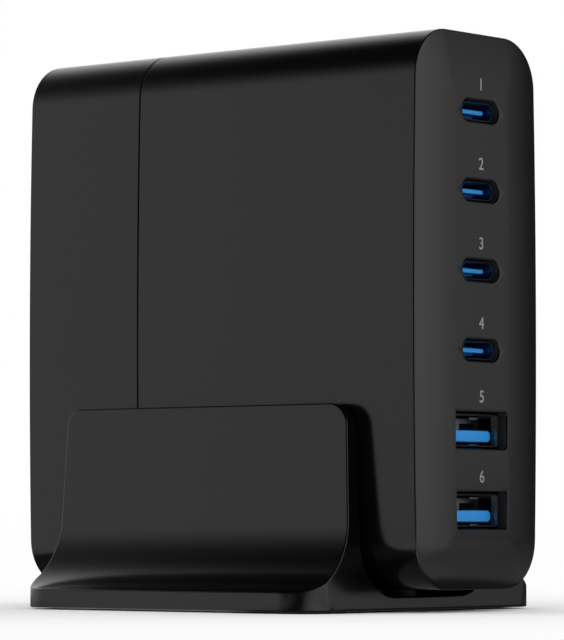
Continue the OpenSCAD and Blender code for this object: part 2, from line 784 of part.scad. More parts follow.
main_shell();
rear_cover();
port_board();
main_board();
for (i = [1:C_PORTS]) usb_c_shell(i);
for (i = [1:C_PORTS]) usb_c_core(i);
for (i = [1:A_PORTS]) usb_a_shell(i);
for (i = [1:A_PORTS]) usb_a_core(i);
for (i = [1:A_PORTS]) usb_a_contacts(i);
ac_inlet();
for (i = [1:2]) inlet_pin(i);
fuse();
varistor();
line_choke_core();
line_choke_winding();
x_capacitor();
bridge_rectifier();
for (i = [1:2]) bulk_capacitor(i);
transformer_core();
transformer_winding();
power_switch();
for (i = [1:4]) output_capacitor(i);
for (i = [1:4]) output_inductor(i);
heat_spreader();
thermal_pad();
insulation_sheet();
cradle();
for (i = [1:2]) seat_pad(i);
for (i = [1:2]) side_pad(i);
for (i = [1:4]) foot_pad(i);
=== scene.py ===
# %% [markdown]
# # A desktop charger that stands on edge in a cradle
# The charger is a slab with six sockets in its narrow front, and it rests in a low cradle. Its solids
# come from the frame, which holds the part as it was built, in metres. Everything that shows is
# dressed here: the two housing mouldings, the cradle, the sockets and the mains inlet get meshes of
# their own, which stand for their solids. The parts inside keep their solids and get a finish.

# %% Load the frame
import json
import math

import bmesh
import bpy
from mathutils import Matrix, Vector


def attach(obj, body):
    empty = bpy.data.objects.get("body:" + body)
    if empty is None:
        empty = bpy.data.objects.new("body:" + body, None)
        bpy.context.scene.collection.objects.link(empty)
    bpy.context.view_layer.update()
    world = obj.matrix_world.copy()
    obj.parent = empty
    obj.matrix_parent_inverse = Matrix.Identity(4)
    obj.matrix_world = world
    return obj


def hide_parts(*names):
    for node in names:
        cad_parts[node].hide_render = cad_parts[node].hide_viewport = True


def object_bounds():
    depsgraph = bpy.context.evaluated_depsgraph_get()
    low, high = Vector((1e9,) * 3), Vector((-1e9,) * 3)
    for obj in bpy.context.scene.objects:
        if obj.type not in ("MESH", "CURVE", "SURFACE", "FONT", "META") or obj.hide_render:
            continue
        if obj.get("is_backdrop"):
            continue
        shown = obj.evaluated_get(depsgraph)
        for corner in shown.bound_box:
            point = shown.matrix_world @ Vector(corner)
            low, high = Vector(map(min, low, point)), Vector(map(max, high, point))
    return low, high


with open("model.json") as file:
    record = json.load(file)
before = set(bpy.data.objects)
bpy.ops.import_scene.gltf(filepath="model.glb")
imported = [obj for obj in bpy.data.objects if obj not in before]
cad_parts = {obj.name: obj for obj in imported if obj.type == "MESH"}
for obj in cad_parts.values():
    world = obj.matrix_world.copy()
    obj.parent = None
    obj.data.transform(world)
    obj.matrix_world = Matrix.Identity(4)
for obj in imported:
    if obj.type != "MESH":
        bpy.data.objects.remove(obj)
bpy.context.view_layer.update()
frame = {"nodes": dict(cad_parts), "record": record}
nodes = frame["nodes"]

# %% [markdown]
# ## Sizes
# The charger is measured in millimetres, as its maker would. One factor turns them into the metres
# that Blender works in, at the moment a piece is finished. The front looks along -Y, and the pads
# under the foot stand at Z = 0. Here are the sizes that several pieces share; others follow where they
# are first needed.

# %% Sizes that pieces share
MM = 0.001
BODY_W, BODY_H, BODY_D = 34.7, 94.9, 90.7
WALL, END_WALL = 2.0, 2.1
BODY_Z0 = 3.8
BODY_ZM = BODY_Z0 + BODY_H / 2
FRONT_Y, BACK_Y = -BODY_D / 2, BODY_D / 2
C_PORTS, A_PORTS, PORT_PITCH = 4, 2, 13.6
PORTS = C_PORTS + A_PORTS
PORT_Z = [BODY_ZM + ((PORTS - 1) / 2 - i) * PORT_PITCH for i in range(PORTS)]
INLET_UP = 24
INLET_Z = BODY_Z0 + INLET_UP
print("sockets at heights", [round(z, 2) for z in PORT_Z])

# %% [markdown]
# ## Camera
# The photograph was taken from a low stand, a little below the middle of the charger, with a long
# lens. A camera could be aimed by eye. Here its place, its turn and its lens were found by fitting
# the outline in the photograph, because a long lens makes each degree of turn count.

# %% Camera
LENS, SENSOR = 216.12, 36
STAND = (-0.522947, -0.437727, 0.015038)
TURN, RISE = math.radians(-50.14), math.radians(-3.03)

camera_data = bpy.data.cameras.new("camera")
camera_data.lens = LENS
camera_data.sensor_width = SENSOR
camera_data.clip_start, camera_data.clip_end = 0.05, 50
camera = bpy.data.objects.new("camera", camera_data)
bpy.context.scene.collection.objects.link(camera)
away = Vector((math.sin(TURN) * math.cos(RISE), -math.cos(TURN) * math.cos(RISE), math.sin(RISE)))
camera.location = STAND
camera.rotation_mode = "QUATERNION"
camera.rotation_quaternion = (-away).to_track_quat("-Z", "Y")
bpy.context.scene.camera = camera
print("camera", [round(v, 3) for v in camera.location])

# %% [markdown]
# ## Helpers
# A smooth piece is shaded by the normals at its corners. Beside a small round, a large flat face
# would then look swollen. The round could be made of many more faces, but it is simpler to let the
# large faces set the normals, which the Weighted Normal modifier does. Its result is kept in the mesh.

# %% Settle the normals
def settle_normals(piece):
    """Lets the large faces set the shading beside them, so that flats stay flat to their edges."""
    weigh = piece.modifiers.new("weigh", "WEIGHTED_NORMAL")
    weigh.keep_sharp, weigh.weight = True, 100
    bpy.context.view_layer.update()
    shaded = piece.evaluated_get(bpy.context.evaluated_depsgraph_get())
    settled = bpy.data.meshes.new_from_object(shaded)
    plain = piece.data
    piece.modifiers.clear()
    piece.data = settled
    settled.name = piece.name
    bpy.data.meshes.remove(plain)


# %% [markdown]
# Every piece is a bmesh in millimetres. When it is done its doubles are merged, its faces are turned
# outwards, it is scaled to metres, its faces are set smooth and its hard edges are marked. Then it
# rides on the charger's only body and stands for the solid that it dresses.

# %% Finish a piece
MERGE = 0.0005
HARD = math.radians(32)


def finish_piece(name, bm, materials, stands_for=()):
    """Turns a bmesh in millimetres into a piece of the object."""
    bmesh.ops.remove_doubles(bm, verts=bm.verts, dist=MERGE)
    bmesh.ops.recalc_face_normals(bm, faces=bm.faces)
    bmesh.ops.scale(bm, vec=(MM, MM, MM), verts=bm.verts)
    for face in bm.faces:
        face.smooth = True
    for edge in bm.edges:
        edge.smooth = not (edge.is_manifold and edge.calc_face_angle() > HARD)
    open_edges = sum(not edge.is_manifold for edge in bm.edges)
    mesh = bpy.data.meshes.new(name)
    bm.to_mesh(mesh)
    bm.free()
    piece = bpy.data.objects.new(name, mesh)
    bpy.context.scene.collection.objects.link(piece)
    for material in materials:
        mesh.materials.append(material)
    settle_normals(piece)
    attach(piece, "root")
    if stands_for:
        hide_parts(*stands_for)
    print(f"{name}: {len(piece.data.polygons)} faces, {open_edges} open edges")


print("edges that turn by more than", round(math.degrees(HARD)), "degrees stay hard")

# %% [markdown]
# Most pieces are skins over loops. A loop is a closed ring of edges, such as the outline of the body
# at one depth. bridge_loops makes the faces between two loops, and triangle_fill closes an end,
# holes and all. So a round edge is a few loops that follow a quarter of a circle.

# %% Loops and skins
def loop_of(bm, points):
    """A closed loop of edges through the points."""
    verts = [bm.verts.new(p) for p in points]
    return [bm.edges.new((verts[i - 1], verts[i])) for i in range(len(verts))]


def skin(bm, loops):
    """Bridges each loop with the next one and gives the strips of faces."""
    return [bmesh.ops.bridge_loops(bm, edges=a + b)["faces"] for a, b in zip(loops, loops[1:])]


def cap(bm, *loops):
    """Fills a flat region between an outer loop and the loops of its holes."""
    edges = [edge for loop in loops for edge in loop]
    bmesh.ops.triangle_fill(bm, use_beauty=True, edges=edges)


trial = bmesh.new()
skin(trial, [loop_of(trial, [(0, 0, z), (1, 0, z), (1, 1, z), (0, 1, z)]) for z in (0, 1)])
print("a skin over two square loops:", len(trial.faces), "faces")
trial.free()

# %% [markdown]
# Three outlines come back in many pieces: an arc, a full circle and a rectangle with round corners.
# They are flat points, which are stood up in X and Z or drawn out later.

# %% Flat outlines
def arc(cx, cy, r, start, end, steps):
    """Points of an arc, angles in degrees."""
    angles = [math.radians(start + (end - start) * k / steps) for k in range(steps + 1)]
    return [(cx + r * math.cos(a), cy + r * math.sin(a)) for a in angles]


def full_circle(r, steps):
    """Points of a circle about the origin."""
    return arc(0, 0, r, 0, 360 - 360 / steps, steps - 1)


def round_rect(w, h, r, steps=8):
    """Points of a rectangle with round corners, about its middle."""
    points = []
    for sx, sy, start in ((1, 1, 0), (-1, 1, 90), (-1, -1, 180), (1, -1, 270)):
        points += arc(sx * (w / 2 - r), sy * (h / 2 - r), r, start, start + 90, steps)
    return points


def upright(points, y, z):
    """Flat points stood up in X and Z, about a height, at a depth."""
    return [(px, y, z + pz) for px, pz in points]


print("points in a round rectangle:", len(round_rect(4, 2, 1)))

# %% [markdown]
# ## Finishes
# The housing is a satin black plastic. Its colour is almost nothing, so what is seen is the room
# in it: a low reflection, spread a little by the fine grain of the mould. Fine noise moves the gloss
# and the relief, and broad noise moves the colour a little. The noise could be painted, but made from
# Object coordinates it stays on the piece from all sides and needs no image.

# %% A finish with its own grain
BROAD_SCALE, BROAD_DETAIL, FINE_DETAIL = 140, 3, 2
RELIEF_DEPTH = 0.00002


def noise(tree, scale, detail):
    """Noise that stays on the piece."""
    place = tree.nodes.new("ShaderNodeTexCoord")
    texture = tree.nodes.new("ShaderNodeTexNoise")
    texture.inputs["Scale"].default_value = scale
    texture.inputs["Detail"].default_value = detail
    tree.links.new(place.outputs["Object"], texture.inputs["Vector"])
    return texture.outputs["Fac"]


def finish(name, colour, roughness, spread=0.03, grain=9000.0, bump=0.04, tint=0.15, **extra):
    """A plastic or metal whose colour, gloss and surface vary a little, as moulded and drawn parts do."""
    material = bpy.data.materials.new(name)
    material.use_nodes = True
    tree = material.node_tree
    shader = tree.nodes["Principled BSDF"]
    broad = noise(tree, BROAD_SCALE, BROAD_DETAIL)
    fine = noise(tree, grain, FINE_DETAIL)
    tone = tree.nodes.new("ShaderNodeMix")
    tone.data_type = "RGBA"
    tone.inputs["A"].default_value = (*[c * (1 - tint) for c in colour], 1)
    tone.inputs["B"].default_value = (*[min(1, c * (1 + tint)) for c in colour], 1)
    tree.links.new(broad, tone.inputs["Factor"])
    tree.links.new(tone.outputs["Result"], shader.inputs["Base Color"])
    gloss = tree.nodes.new("ShaderNodeMapRange")
    gloss.inputs["To Min"].default_value = roughness - spread
    gloss.inputs["To Max"].default_value = roughness + spread
    tree.links.new(fine, gloss.inputs["Value"])
    tree.links.new(gloss.outputs["Result"], shader.inputs["Roughness"])
    relief = tree.nodes.new("ShaderNodeBump")
    relief.inputs["Strength"].default_value = bump
    relief.inputs["Distance"].default_value = RELIEF_DEPTH
    tree.links.new(fine, relief.inputs["Height"])
    tree.links.new(relief.outputs["Normal"], shader.inputs["Normal"])
    for socket, value in extra.items():
        shader.inputs[socket.replace("_", " ")].default_value = value
    return material


print("the grain is", RELIEF_DEPTH / MM, "mm deep at most")

# %% [markdown]
# The mouldings are black, satin outside and matt in the tunnels of the sockets, where the black is
# also painted lighter, as painted light on the tunnel walls. The tongues are a blue plastic. The type
# A shells are a dark steel: their rim is painted darker, as painted shade for the dark opening that
# the metal mirrors there, and the stretch just inside is painted brighter, as painted light. The
# type C shells are coloured dark blue, and their lip is painted darker still, as painted shade.
# Contacts and pins are gold.

# %% Plastics and metals
satin_black = finish("satin_black_plastic", (0.0018, 0.0018, 0.0019), 0.17, 0.03, IOR=1.4)
cradle_black = finish("cradle_black_plastic", (0.0018, 0.0018, 0.0019), 0.19, 0.03, IOR=1.4)
# Painted light: the tunnels' black is lighter than the outside black, standing in for light on the tunnel
# walls; the matt gloss is the real finish.
matt_tunnel_black_painted_light = finish("matt_tunnel_black_plastic_painted_light", (0.014, 0.014, 0.015), 0.55, 0.08)
inlet_black = finish("inlet_black_plastic", (0.004, 0.004, 0.004), 0.35, 0.05)
socket_blue = finish("socket_blue_plastic", (0.01, 0.255, 0.68), 0.38, 0.05, Specular_IOR_Level=0.2)
shell_steel = finish("socket_shell_steel", (0.16, 0.165, 0.17), 0.34, 0.06, Metallic=1.0)
# Painted light: the stretch just inside a type A shell is a brighter steel, standing in for the light that
# falls there.
steel_mouth_painted_light = finish("socket_steel_mouth_painted_light", (0.5, 0.51, 0.52), 0.34, 0.06, Metallic=1.0)
# The type C shells are coloured a dark blue metal.
shell_dark_blue = finish("socket_shell_dark_blue", (0.03, 0.16, 0.32), 0.34, 0.06, Metallic=1.0)
# Painted shade: the lip of a type C shell is darker than the rest of the shell.
blue_rim_painted_shade = finish("socket_blue_rim_painted_shade", (0.01, 0.018, 0.028), 0.4, 0.06, Metallic=1.0)
# Painted shade: the rim of a type A shell is a darker steel, standing in for the dark opening mirrored
# there.
steel_rim_painted_shade = finish("socket_steel_rim_painted_shade", (0.03, 0.032, 0.035), 0.4, 0.06, Metallic=1.0)
contact_gold = finish("contact_gold", (0.8, 0.56, 0.2), 0.22, 0.04, Metallic=1.0)
soft_rubber = finish("soft_black_rubber", (0.012, 0.012, 0.012), 0.62, 0.08, 4000.0, 0.2)
label_ink = finish("label_ink", (0.2, 0.2, 0.205), 0.5, 0.05)
print("finishes:", len(bpy.data.materials))

# %% [markdown]
# ## Housing
# The body is one section drawn along its depth: four round corners joined by sides that swell out
# by half a millimetre. It could be a box with a bevel, but then its sides would be flat and mirror
# the room as one tone. A loop of points gives the section at any inset, so the crowned ends, the
# rim's small round and the inner wall are all the same loop at other insets and depths.

# %% The section of the body
CORNER_R, LEAST_R, SIDE_BOW = 8.5, 0.5, 0.5
CORNER_STEPS, SIDE_STEPS, TOP_STEPS = 16, 11, 3
CORNER_Z = BODY_H / 2 - CORNER_R
SIDE_R = (CORNER_Z ** 2 + SIDE_BOW ** 2) / (2 * SIDE_BOW)
SIDE_C = SIDE_R - BODY_W / 2
CORNER_X = math.sqrt((SIDE_R - CORNER_R) ** 2 - CORNER_Z ** 2) - SIDE_C
TANGENT = math.asin(CORNER_Z / (SIDE_R - CORNER_R))


def section(inset, y):
    """The body's outline, set in by a distance, at a depth."""
    r = max(CORNER_R - inset, LEAST_R)
    shift = max(inset - CORNER_R + LEAST_R, 0)
    cx, cz = CORNER_X - shift, CORNER_Z - shift
    right, high = SIDE_R - SIDE_C - inset, BODY_H / 2 - inset
    join_z = cz + r * math.sin(TANGENT)
    quarter = []
    for k in range(1, SIDE_STEPS):
        z = join_z * k / SIDE_STEPS
        quarter.append((math.sqrt((SIDE_R - inset) ** 2 - z * z) - SIDE_C, z))
    quarter += arc(cx, cz, r, math.degrees(TANGENT), 90, CORNER_STEPS)
    quarter += [(cx * (1 - k / TOP_STEPS), high) for k in range(1, TOP_STEPS)]
    ring = [(right, 0)] + quarter + [(0, high)]
    ring += [(-x, z) for x, z in reversed(quarter)] + [(-right, 0)]
    ring += [(-x, -z) for x, z in quarter] + [(0, -high)]
    ring += [(x, -z) for x, z in reversed(quarter)]
    return upright(ring, y, BODY_ZM)


print("points in the section:", len(section(0, 0)))

# %% [markdown]
# Each end is crowned: it falls away towards its rim, and a round of 0.3 mm turns the crown into the
# side. In the photograph that round is the thin dark line between the side and the front. A bevel
# could make it, but the loops of the section give it the exact tangent of the crown. The ends lie a
# hundredth of a millimetre inside the box of the solids, so that printed ink stays in it.

# %% A crowned end
CROWN, CROWN_RUN, CROWN_POWER = 1.1, 9.9, 1.8
CROWN_INSETS = (0.7, 1.3, 2.0, 2.8, 3.7, 4.6, 5.5, 6.4, 7.3, 8.2, 9.1, CROWN_RUN)
RIM_R, RIM_STEPS = 0.3, 5
INK = 0.012


def crown_drop(inset):
    """How far the crowned surface lies behind the end of the box."""
    return INK + CROWN * max(1 - inset / CROWN_RUN, 0) ** CROWN_POWER


def crowned_rings(bm, end):
    """Loops from the side over the rim to the flat middle; end is -1 in front and 1 behind."""
    slope = math.atan(CROWN_POWER * CROWN / CROWN_RUN)
    reach = math.pi / 2 - slope
    start = RIM_R * (1 - math.cos(reach))
    centre = BODY_D / 2 - crown_drop(start) - RIM_R * math.sin(reach)
    loops = []
    for k in range(RIM_STEPS + 1):
        a = reach * k / RIM_STEPS
        rim = section(RIM_R * (1 - math.cos(a)), end * (centre + RIM_R * math.sin(a)))
        loops.append(loop_of(bm, rim))
    for inset in CROWN_INSETS:
        loops.append(loop_of(bm, section(inset, end * (BODY_D / 2 - crown_drop(inset)))))
    return loops


print("the rim of an end lies back by", round(crown_drop(0), 2), "mm")

# %% [markdown]
# Each socket has an opening in the front wall. Its edge is rounded by a third of a millimetre, and
# the wall behind it is two millimetres deep, so the opening is a short tunnel to the socket's shell.
# A boolean could cut it, but loops give a clean round edge and let the tunnel have its own finish:
# matt, and painted lighter as painted light on its walls.

# %% Openings in an end wall
EDGE_R, EDGE_STEPS = 0.35, 4


def opening_rings(bm, outline, end, z):
    """Loops of one opening, from the face of the end to the inner side of its wall."""
    w, h, r = outline
    loops = []
    for k in range(EDGE_STEPS + 1):
        a = math.pi / 2 * k / EDGE_STEPS
        grow = EDGE_R * (1 - math.sin(a))
        depth = INK + EDGE_R * (1 - math.cos(a))
        points = round_rect(w + 2 * grow, h + 2 * grow, r + grow)
        loops.append(loop_of(bm, upright(points, end * (BODY_D / 2 - depth), z)))
    loops.append(loop_of(bm, upright(round_rect(w, h, r), end * (BODY_D / 2 - END_WALL), z)))
    # The tunnel takes material 1, the matt black that is painted lighter as painted light.
    for face in skin(bm, loops)[-1]:
        face.material_index = 1
    return loops[0], loops[-1]


print("loops in an opening:", EDGE_STEPS + 2)

# %% [markdown]
# The housing is two cups that meet at the seam: the main shell in front and the rear cover, whose
# lip enters the shell. Each is built as a closed wall, from its seam over its outside to the end and
# back along its inner side. Thickening one skin would be quicker, but it would also copy the crown
# to the inner side, which is flat here.

# %% The halves of the housing
COVER_D, SEAM_W = 27.6, 0.25
SEAM_Y = BACK_Y - COVER_D
SEAM_EDGE_R, SEAM_EDGE_STEPS = 0.12, 3
LIP_DEEP, LIP_ROOT, LIP_OUT, LIP_IN = 4, 2.5, 2.1, 3.3


def housing_part(name, end, seam_y, outlines, extra=None):
    """One half of the housing as a closed wall; end is -1 for the front half and 1 for the rear."""
    bm = bmesh.new()
    seam_rings = []
    for k in range(SEAM_EDGE_STEPS + 1):
        a = math.pi / 2 * k / SEAM_EDGE_STEPS
        y = seam_y + end * SEAM_EDGE_R * (1 - math.cos(a))
        seam_rings.append(loop_of(bm, section(SEAM_EDGE_R * (1 - math.sin(a)), y)))
    rings = seam_rings + crowned_rings(bm, end)
    skin(bm, rings)
    holes = [opening_rings(bm, outline, end, z) for outline, z in outlines]
    cap(bm, rings[-1], *[hole[0] for hole in holes])
    inner_end = loop_of(bm, section(WALL, end * (BODY_D / 2 - END_WALL)))
    inner_seam = loop_of(bm, section(WALL, seam_y))
    skin(bm, [inner_end, inner_seam, rings[0]])
    cap(bm, inner_end, *[hole[1] for hole in holes])
    if extra:
        extra(bm)
    finish_piece("dressed_" + name, bm, [satin_black, matt_tunnel_black_painted_light], [name])


def cover_lip(bm):
    """The lip of the rear cover, which closes the seam from inside."""
    deep, root = SEAM_Y - LIP_DEEP, SEAM_Y + LIP_ROOT
    corners = ((LIP_OUT, deep), (LIP_OUT, root), (LIP_IN, root), (LIP_IN, deep))
    rings = [loop_of(bm, section(inset, y)) for inset, y in corners]
    skin(bm, rings + rings[:1])


print("seam at a depth of", round(SEAM_Y - FRONT_Y, 2), "mm, open by", SEAM_W)

# %% [markdown]
# The openings of the sockets are a little larger than their shells, and the inlet sits in its hole
# with a tenth of a millimetre of play all round. Width, height and corner radius say an opening.

# %% Build the two halves
C_OPENING, A_OPENING = (10.4, 3.75, 1.86), (14.7, 6.3, 0.7)
INLET_HOLE = (11.7, 20.2, 1.6)
port_outlines = list(zip([C_OPENING] * C_PORTS + [A_OPENING] * A_PORTS, PORT_Z))
housing_part("main_shell", -1, SEAM_Y - SEAM_W / 2, port_outlines)
housing_part("rear_cover", 1, SEAM_Y + SEAM_W / 2, [(INLET_HOLE, INLET_Z)], cover_lip)

# %% [markdown]
# ## Cradle
# The cradle is one moulding: a profile drawn along the depth, trimmed by ends that lean in and by
# the round corners of its foot. Lofting such a shape by hand would need many loops that end in
# different places. Cutting three drawn shapes against each other gives the same edges, and one
# bevel then rounds them all.

# %% Drawn shapes
def prism(points, length, matrix):
    """A flat outline drawn out along its normal, about the middle of its length, then placed."""
    bm = bmesh.new()
    face = bm.faces.new([bm.verts.new((x, y, -length / 2)) for x, y in points])
    grown = bmesh.ops.extrude_face_region(bm, geom=[face])
    top = [v for v in grown["geom"] if isinstance(v, bmesh.types.BMVert)]
    bmesh.ops.translate(bm, verts=top, vec=(0, 0, length))
    bmesh.ops.recalc_face_normals(bm, faces=bm.faces)
    bmesh.ops.transform(bm, matrix=matrix, verts=bm.verts)
    bmesh.ops.recalc_face_normals(bm, faces=bm.faces)
    return bm


trial = prism(full_circle(2, 8), 10, Matrix())
print("a prism over eight points:", len(trial.faces), "faces")
trial.free()

# %% [markdown]
# A cut borrows the Boolean modifier: both shapes become objects for a moment, the modifier is
# worked out, and its result comes back as a bmesh. The two objects are then removed.

# %% Cuts
def as_object(bm, name):
    """A plain object that holds a bmesh."""
    mesh = bpy.data.meshes.new(name)
    bm.to_mesh(mesh)
    bm.free()
    thing = bpy.data.objects.new(name, mesh)
    bpy.context.scene.collection.objects.link(thing)
    return thing


def carve(body, tool, how):
    """The bmesh left when one shape is cut by another."""
    body_object, tool_object = as_object(body, "carve_body"), as_object(tool, "carve_tool")
    cut = body_object.modifiers.new("cut", "BOOLEAN")
    cut.operation, cut.object, cut.solver = how, tool_object, "EXACT"
    bpy.context.view_layer.update()
    result = bmesh.new()
    done = body_object.evaluated_get(bpy.context.evaluated_depsgraph_get())
    result.from_mesh(done.to_mesh())
    done.to_mesh_clear()
    for thing in (body_object, tool_object):
        mesh = thing.data
        bpy.data.objects.remove(thing)
        bpy.data.meshes.remove(mesh)
    return result


trial = carve(prism(full_circle(2, 8), 2, Matrix()), prism(full_circle(1, 8), 4, Matrix()), "DIFFERENCE")
print("a short pipe, cut from two prisms:", len(trial.verts), "corners")
trial.free()

# %% [markdown]
# The profile is the cradle seen from the front: from the foot's edge up the concave flare to the
# wing, over the wing's flat top, and down the round channel that the body sits in. Only its right
# half is drawn; the other is its mirror image.

# %% The cradle's profile
FOOT_W, FOOT_L, FOOT_R = 65.4, 67.0, 6.8
LOW, FOOT_TOP, WING_TOP = 0.3, 3.6, 35.3
CHANNEL_X, CHANNEL_Z, CHANNEL_R = 18.2, 2.6, 9.0
WING_X, LEAN, FLARE_R = 20.6, 0.75, 12.8
FLARE_X = WING_X + LEAN + FLARE_R
FLARE_Z = FOOT_TOP + math.sqrt(FLARE_R ** 2 - (FLARE_X - FOOT_W / 2) ** 2)
FLARE_STEPS, CHANNEL_STEPS = 40, 24
TRIM = 0.4  # the profile reaches this far past the foot, whose plan trims it

foot_out = FOOT_W / 2 + TRIM
foot_angle = -math.degrees(math.acos((foot_out - FLARE_X) / FLARE_R))
half = [(foot_out, LOW)]
half += arc(FLARE_X, FLARE_Z, FLARE_R, foot_angle, -180, FLARE_STEPS)
half += [(WING_X, WING_TOP), (CHANNEL_X, WING_TOP)]
half += arc(CHANNEL_X - CHANNEL_R, CHANNEL_Z + CHANNEL_R, CHANNEL_R, 0, -90, CHANNEL_STEPS)
profile = half + [(-x, z) for x, z in reversed(half)]
print("points in the cradle's profile:", len(profile))

# %% [markdown]
# Seen from the side, each end leans in a little, and the wing's top corners are round. In the
# photograph the corner at the back is tighter than the one in front, so one function draws an end
# with any radius, and it is called twice.

# %% The cradle from the side
END_LEAN, LEAN_RUN, END_PLAY, BELOW = 1.6, 35, 0.02, 1
WING_R, REAR_WING_R, WING_STEPS = 4.0, 2.7, 20
lean = math.atan(END_LEAN / LEAN_RUN)


def wing_end(r):
    """One end of the cradle seen from the side: it leans in and is rounded at its top."""
    arc_z = WING_TOP - r
    edge_y = FOOT_L / 2 + END_PLAY - END_LEAN * (arc_z - LOW) / LEAN_RUN
    foot = (edge_y + END_LEAN * (arc_z - LOW + BELOW) / LEAN_RUN, LOW - BELOW)
    return [foot] + arc(edge_y - r / math.cos(lean), arc_z, r, math.degrees(lean), 90, WING_STEPS)


side_outline = wing_end(REAR_WING_R) + [(-y, z) for y, z in reversed(wing_end(WING_R))]
print("points in the cradle's side:", len(side_outline))

# %% [markdown]
# The profile is drawn along Y, the side outline along X and the foot's plan along Z, and what lies
# in all three is the cradle. Each matrix stands an outline up in its own direction. The bevel isn't
# clamped, because the short edges left by the cuts would hold it to almost nothing.

# %% Cut and bevel the cradle
CRADLE_Y, SPARE, PLAN_STEPS = -0.5, 4, 16
TALL, TALL_MIDDLE = 44, 20
ALONG_Y = Matrix(((1, 0, 0, 0), (0, 0, -1, CRADLE_Y), (0, 1, 0, 0), (0, 0, 0, 1)))
ALONG_X = Matrix(((0, 0, 1, 0), (1, 0, 0, CRADLE_Y), (0, 1, 0, 0), (0, 0, 0, 1)))
ALONG_Z = Matrix.Translation((0, CRADLE_Y, TALL_MIDDLE))
WELD, FLAT, SHARP = 0.002, math.radians(0.2), math.radians(35)
CRADLE_EDGE_R = 0.3

drawn = prism(profile, FOOT_L + SPARE, ALONG_Y)
cradle_bm = carve(drawn, prism(side_outline, FOOT_W + SPARE, ALONG_X), "INTERSECT")
plan = prism(round_rect(FOOT_W, FOOT_L, FOOT_R, PLAN_STEPS), TALL, ALONG_Z)
cradle_bm = carve(cradle_bm, plan, "INTERSECT")
bmesh.ops.remove_doubles(cradle_bm, verts=cradle_bm.verts, dist=WELD)
bmesh.ops.dissolve_limit(cradle_bm, angle_limit=FLAT, verts=cradle_bm.verts, edges=cradle_bm.edges)
sharp = [edge for edge in cradle_bm.edges if edge.is_manifold and edge.calc_face_angle() > SHARP]
bmesh.ops.bevel(
    cradle_bm, geom=sharp, offset=CRADLE_EDGE_R, offset_type="OFFSET", segments=3, profile=0.5,
    affect="EDGES", material=-1, clamp_overlap=False,
)
print("cradle edges bevelled:", len(sharp))

# %% [markdown]
# A thick moulding would sink as it cools, so such a cradle is hollow from below. The core keeps an
# even wall under the channel and under the flare: its arcs have the same centres, with larger radii.

# %% The outline of a core
CORE_WALL, CORE_X, CORE_TOP = 2.0, 12.7, 8.8
CORE_CHANNEL_STEPS, CORE_FLARE_STEPS = 14, 18


def core_outline():
    """One core seen from the front, on the right side."""
    cx, cz = CHANNEL_X - CHANNEL_R, CHANNEL_Z + CHANNEL_R
    channel_r, flare_r = CHANNEL_R + CORE_WALL, FLARE_R + CORE_WALL
    out_x = FOOT_W / 2 - CORE_WALL
    start = -math.degrees(math.acos((CORE_X - cx) / channel_r))
    end = -math.degrees(math.asin((cz - CORE_TOP) / channel_r))
    outline = [(CORE_X, LOW - BELOW)] + arc(cx, cz, channel_r, start, end, CORE_CHANNEL_STEPS)
    start = -180 + math.degrees(math.asin((FLARE_Z - CORE_TOP) / flare_r))
    end = -90 - math.degrees(math.asin((FLARE_X - out_x) / flare_r))
    return outline + arc(FLARE_X, FLARE_Z, flare_r, start, end, CORE_FLARE_STEPS) + [(out_x, LOW - BELOW)]


print("points in a core:", len(core_outline()))

# %% [markdown]
# Five cores in a row on each side leave ribs between them. They are trimmed to the foot's plan less
# one wall, and a boss is left round the place of each pad. A pocket in each boss then takes its pad.

# %% Cores, bosses and pockets
RIB, CORES, INNER_PLAN_STEPS = 1.5, 5, 12
PAD_R, PAD_PLAY, BOSS_WALL, PAD_STEPS = 4.2, 0.1, 1.5, 40
PAD_IN_X, PAD_IN_Y = 2, 3.5
PAD_X = FOOT_W / 2 - CORE_WALL - PAD_R - PAD_IN_X
PAD_Y = FOOT_L / 2 - CORE_WALL - PAD_R - PAD_IN_Y
CUT_LOW, BOSS_HIGH, POCKET_HIGH = -2, 30, LOW + 0.7


def joined(parts):
    """Several bmeshes as one."""
    whole = bmesh.new()
    for part in parts:
        mesh = bpy.data.meshes.new("part")
        part.to_mesh(mesh)
        part.free()
        whole.from_mesh(mesh)
        bpy.data.meshes.remove(mesh)
    return whole


def discs(r, z0, z1):
    """An upright disc at each pad's place."""
    parts = []
    for x, y in ((sx * PAD_X, sy * PAD_Y) for sx in (-1, 1) for sy in (-1, 1)):
        place = Matrix.Translation((x, y + CRADLE_Y, (z0 + z1) / 2))
        parts.append(prism(full_circle(r, PAD_STEPS), z1 - z0, place))
    return joined(parts)


print("pads at", round(PAD_X, 2), "and", round(PAD_Y, 2), "mm from the middle of the cradle")

# %% Core the cradle from below
cell = (FOOT_L - 2 * CORE_WALL + RIB) / CORES
cells = []
for c in range(CORES):
    middle = -FOOT_L / 2 + CORE_WALL + c * cell + (cell - RIB) / 2
    shift = Matrix.Translation((0, middle, 0))
    for side in (-1, 1):
        cells.append(prism([(side * x, z) for x, z in core_outline()], cell - RIB, shift @ ALONG_Y))
inner_w, inner_l, inner_r = FOOT_W - 2 * CORE_WALL, FOOT_L - 2 * CORE_WALL, FOOT_R - CORE_WALL
inner_plan = prism(round_rect(inner_w, inner_l, inner_r, INNER_PLAN_STEPS), TALL, ALONG_Z)
cores = carve(joined(cells), inner_plan, "INTERSECT")
cores = carve(cores, discs(PAD_R + BOSS_WALL, CUT_LOW, BOSS_HIGH), "DIFFERENCE")
cradle_bm = carve(cradle_bm, cores, "DIFFERENCE")
cradle_bm = carve(cradle_bm, discs(PAD_R + PAD_PLAY, CUT_LOW, POCKET_HIGH), "DIFFERENCE")
finish_piece("dressed_cradle", cradle_bm, [cradle_black], ["cradle"])

